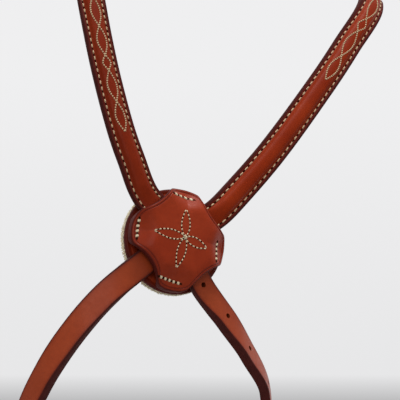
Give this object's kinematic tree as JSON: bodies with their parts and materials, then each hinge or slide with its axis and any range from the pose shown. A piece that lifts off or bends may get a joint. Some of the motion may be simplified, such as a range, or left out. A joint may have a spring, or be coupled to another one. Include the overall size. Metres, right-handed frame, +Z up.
{
  "type": "figure eight noseband",
  "caption": "Chestnut leather noseband: two padded straps cross in a stitched, scalloped rosette, with steel cheek rings, headstall, jaw strap and chin strap.",
  "frame": {"origin": "middle of the crown strap's flat underside, where it lies on the horse's poll", "axes": "+Z up; the horse looks along -Y; +X is its near (left) side, where the buckles are"},
  "size_m": [0.2491, 0.3355, 0.7123],
  "materials": {
    "near_cheek_ring_finish": "polished stainless steel",
    "off_cheek_ring_finish": "polished stainless steel",
    "near_cheek_billet_finish": "glossy chestnut bridle leather, dyed and burnished edges",
    "crown_strap_finish": "glossy chestnut bridle leather, dyed and burnished edges",
    "headstall_buckle_frame_finish": "polished stainless steel",
    "headstall_buckle_tongue_finish": "polished stainless steel",
    "headstall_fixed_keeper_finish": "glossy chestnut bridle leather, dyed and burnished edges",
    "headstall_runner_keeper_finish": "glossy chestnut bridle leather, dyed and burnished edges",
    "near_jaw_billet_finish": "glossy chestnut bridle leather, dyed and burnished edges",
    "jaw_strap_finish": "glossy chestnut bridle leather, dyed and burnished edges",
    "jaw_buckle_frame_finish": "polished stainless steel",
    "jaw_buckle_tongue_finish": "polished stainless steel",
    "jaw_fixed_keeper_finish": "glossy chestnut bridle leather, dyed and burnished edges",
    "jaw_runner_keeper_finish": "glossy chestnut bridle leather, dyed and burnished edges",
    "near_nose_strap_finish": "glossy chestnut bridle leather, dyed and burnished edges",
    "near_raised_cover_finish": "glossy chestnut leather, stretched over padding, stitched edges",
    "near_padding_finish": "pressed felt",
    "off_nose_strap_finish": "glossy chestnut bridle leather, dyed and burnished edges",
    "off_raised_cover_finish": "glossy chestnut leather, stretched over padding, stitched edges",
    "off_padding_finish": "pressed felt",
    "chin_buckle_frame_finish": "polished stainless steel",
    "chin_buckle_tongue_finish": "polished stainless steel",
    "chin_fixed_keeper_finish": "glossy chestnut bridle leather, dyed and burnished edges",
    "chin_runner_keeper_finish": "glossy chestnut bridle leather, dyed and burnished edges",
    "rosette_base_finish": "thick glossy chestnut leather with a creased, dyed edge",
    "fleece_pad_finish": "cream sheepskin pile",
    "rosette_top_finish": "thick glossy chestnut leather with a creased, dyed edge"
  },
  "bodies": {
    "headstall": {"crown_strap": "crown_strap_finish", "near_cheek_billet": "near_cheek_billet_finish", "headstall_buckle_frame": "headstall_buckle_frame_finish", "headstall_fixed_keeper": "headstall_fixed_keeper_finish"},
    "headstall_tongue": {"headstall_buckle_tongue": "headstall_buckle_tongue_finish"},
    "headstall_runner": {"headstall_runner_keeper": "headstall_runner_keeper_finish"},
    "near_ring": {"near_cheek_ring": "near_cheek_ring_finish"},
    "off_ring": {"off_cheek_ring": "off_cheek_ring_finish"},
    "jaw_piece": {"near_jaw_billet": "near_jaw_billet_finish", "jaw_strap": "jaw_strap_finish", "jaw_buckle_frame": "jaw_buckle_frame_finish", "jaw_fixed_keeper": "jaw_fixed_keeper_finish"},
    "jaw_tongue": {"jaw_buckle_tongue": "jaw_buckle_tongue_finish"},
    "jaw_runner": {"jaw_runner_keeper": "jaw_runner_keeper_finish"},
    "nose_piece": {"near_nose_strap": "near_nose_strap_finish", "off_nose_strap": "off_nose_strap_finish", "near_raised_cover": "near_raised_cover_finish", "off_raised_cover": "off_raised_cover_finish", "near_padding": "near_padding_finish", "off_padding": "off_padding_finish", "chin_buckle_frame": "chin_buckle_frame_finish", "chin_fixed_keeper": "chin_fixed_keeper_finish"},
    "chin_tongue": {"chin_buckle_tongue": "chin_buckle_tongue_finish"},
    "chin_runner": {"chin_runner_keeper": "chin_runner_keeper_finish"},
    "rosette": {"rosette_base": "rosette_base_finish", "fleece_pad": "fleece_pad_finish", "rosette_top": "rosette_top_finish"}
  },
  "joints": [
    {"name": "near_ring_turns", "type": "hinge", "parent": "headstall", "child": "near_ring", "pos_m": [0.118, 0, -0.25], "axis": [1, 0, 0], "continuous": true},
    {"name": "off_ring_turns", "type": "hinge", "parent": "headstall", "child": "off_ring", "pos_m": [-0.118, 0, -0.25], "axis": [1, 0, 0], "continuous": true},
    {"name": "nose_piece_swings", "type": "hinge", "parent": "headstall", "child": "nose_piece", "pos_m": [0, 0, -0.25], "axis": [1, 0, 0], "range_deg": [-20, 25]},
    {"name": "jaw_piece_swings", "type": "hinge", "parent": "headstall", "child": "jaw_piece", "pos_m": [0, 0, -0.25], "axis": [1, 0, 0], "range_deg": [-60, 8]},
    {"name": "rosette_turns", "type": "hinge", "parent": "nose_piece", "child": "rosette", "pos_m": [-0.018, -0.1, -0.512], "axis": [0, -1, 0], "range_deg": [-1.5, 1.5]},
    {"name": "headstall_tongue_lifts", "type": "hinge", "parent": "headstall", "child": "headstall_tongue", "pos_m": [0.10612, 0, -0.16029], "axis": [0, -1, 0], "range_deg": [0, 5]},
    {"name": "jaw_tongue_lifts", "type": "hinge", "parent": "jaw_piece", "child": "jaw_tongue", "pos_m": [0.1054, 0.07166, -0.23477], "axis": [0, -0.2079, 0.9781], "range_deg": [0, 5]},
    {"name": "chin_tongue_lifts", "type": "hinge", "parent": "nose_piece", "child": "chin_tongue", "pos_m": [0.06126, -0.04537, -0.64651], "axis": [-0.0363, 0.5821, 0.8123], "range_deg": [0, 5]},
    {"name": "headstall_runner_slides", "type": "slide", "parent": "headstall", "child": "headstall_runner", "axis": [-0.165, 0, 0.9863], "range_m": [-0.01, 0.012]},
    {"name": "jaw_runner_slides", "type": "slide", "parent": "jaw_piece", "child": "jaw_runner", "axis": [-0.225, 0.9531, 0.2026], "range_m": [-0.01, 0.012]},
    {"name": "chin_runner_slides", "type": "slide", "parent": "nose_piece", "child": "chin_runner", "axis": [-0.1501, 0.8004, -0.5803], "range_m": [-0.01, 0.012]}
  ]
}
